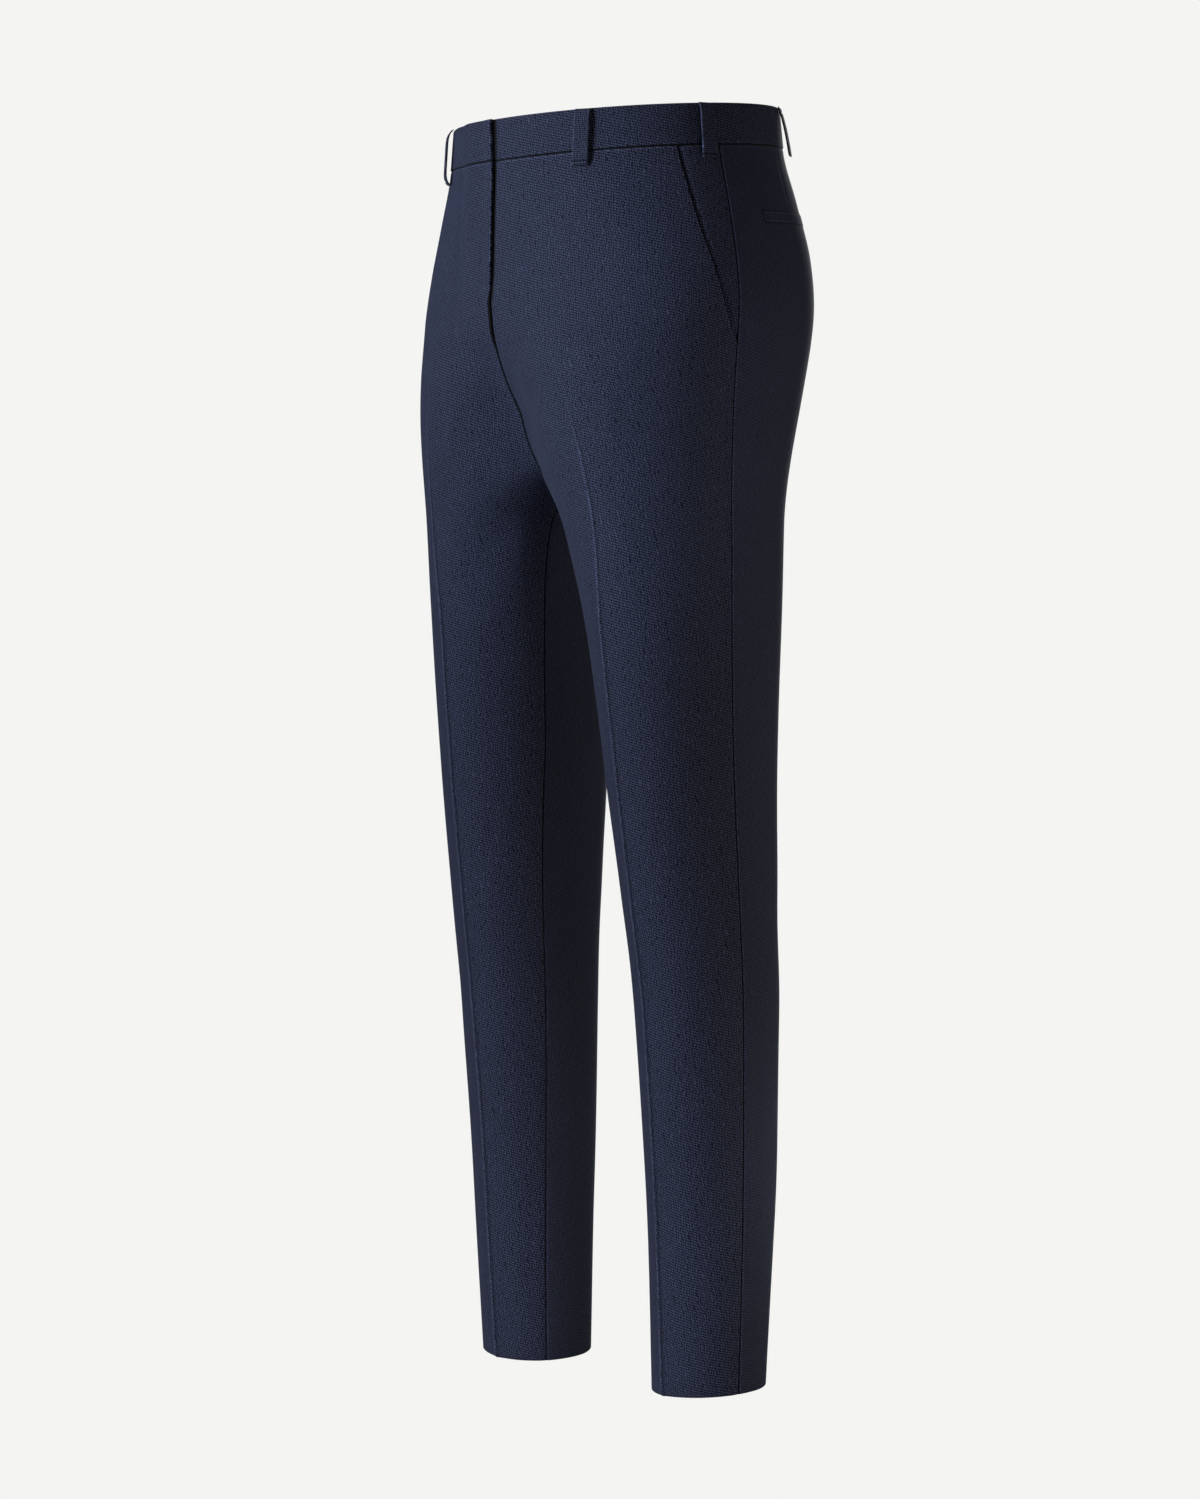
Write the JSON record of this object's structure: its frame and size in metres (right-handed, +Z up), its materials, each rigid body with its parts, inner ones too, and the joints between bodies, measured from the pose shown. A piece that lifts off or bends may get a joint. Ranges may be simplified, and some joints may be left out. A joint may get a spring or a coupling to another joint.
{
  "type": "dress trousers",
  "caption": "Hollow tailored dress trousers, filled out as if worn, with a banded waist, belt loops, slanted side pockets, back welt pockets and slim creased legs.",
  "frame": {"origin": "the middle of the waistband's ring, at the middle of its height, where the wearer's waist holds the trousers", "axes": "+Z up along the legs, -Y to the front, +X to the wearer's left"},
  "size_m": [0.3628, 0.2661, 1.0573],
  "materials": {
    "suiting": "fine matt navy wool suiting",
    "loops": "fine matt navy wool suiting, doubled"
  },
  "bodies": {
    "root": {"front_left": "suiting", "front_right": "suiting", "back_left": "suiting", "back_right": "suiting", "waistband_left": "suiting", "waistband_right": "suiting", "pocket_facing_left": "suiting", "pocket_facing_right": "suiting", "back_welt_left": "suiting", "back_welt_right": "suiting", "belt_loop_front_left": "loops", "belt_loop_front_right": "loops", "belt_loop_side_left": "loops", "belt_loop_side_right": "loops", "belt_loop_back_left": "loops", "belt_loop_back_right": "loops", "belt_loop_centre_back": "loops"}
  },
  "joints": []
}
